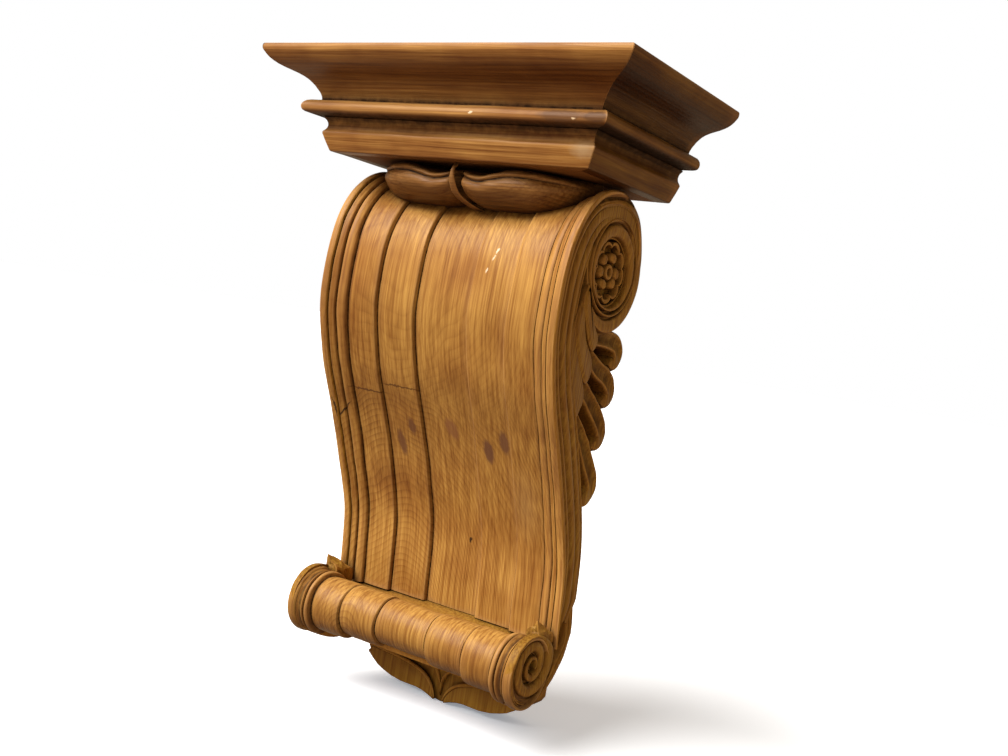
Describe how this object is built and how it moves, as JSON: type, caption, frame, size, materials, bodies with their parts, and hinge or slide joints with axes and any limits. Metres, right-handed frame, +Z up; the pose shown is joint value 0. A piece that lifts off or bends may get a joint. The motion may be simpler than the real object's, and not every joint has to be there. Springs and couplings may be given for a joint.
{
  "type": "wooden corbel bracket",
  "caption": "Carved wooden wall bracket: mitred cornice on an S-shaped banded scroll with side volutes, leaves and a front roll.",
  "frame": {"origin": "on the wall face, on the centre line, at half the bracket's height", "axes": "+Z up, +Y into the wall, +X to the right as seen from the front"},
  "size_m": [0.432, 0.234, 0.6626],
  "materials": {
    "cornice_wood": "stripped pine, waxed",
    "board_wood": "sawn pine, dusty",
    "necking_wood": "dark waxed pine",
    "scroll_wood": "stripped pine, waxed"
  },
  "bodies": {
    "root": {"cornice_front": "cornice_wood", "cornice_right_return": "cornice_wood", "cornice_left_return": "cornice_wood", "cornice_board": "board_wood", "leaf_necking": "necking_wood", "scroll_body": "scroll_wood"}
  },
  "joints": []
}
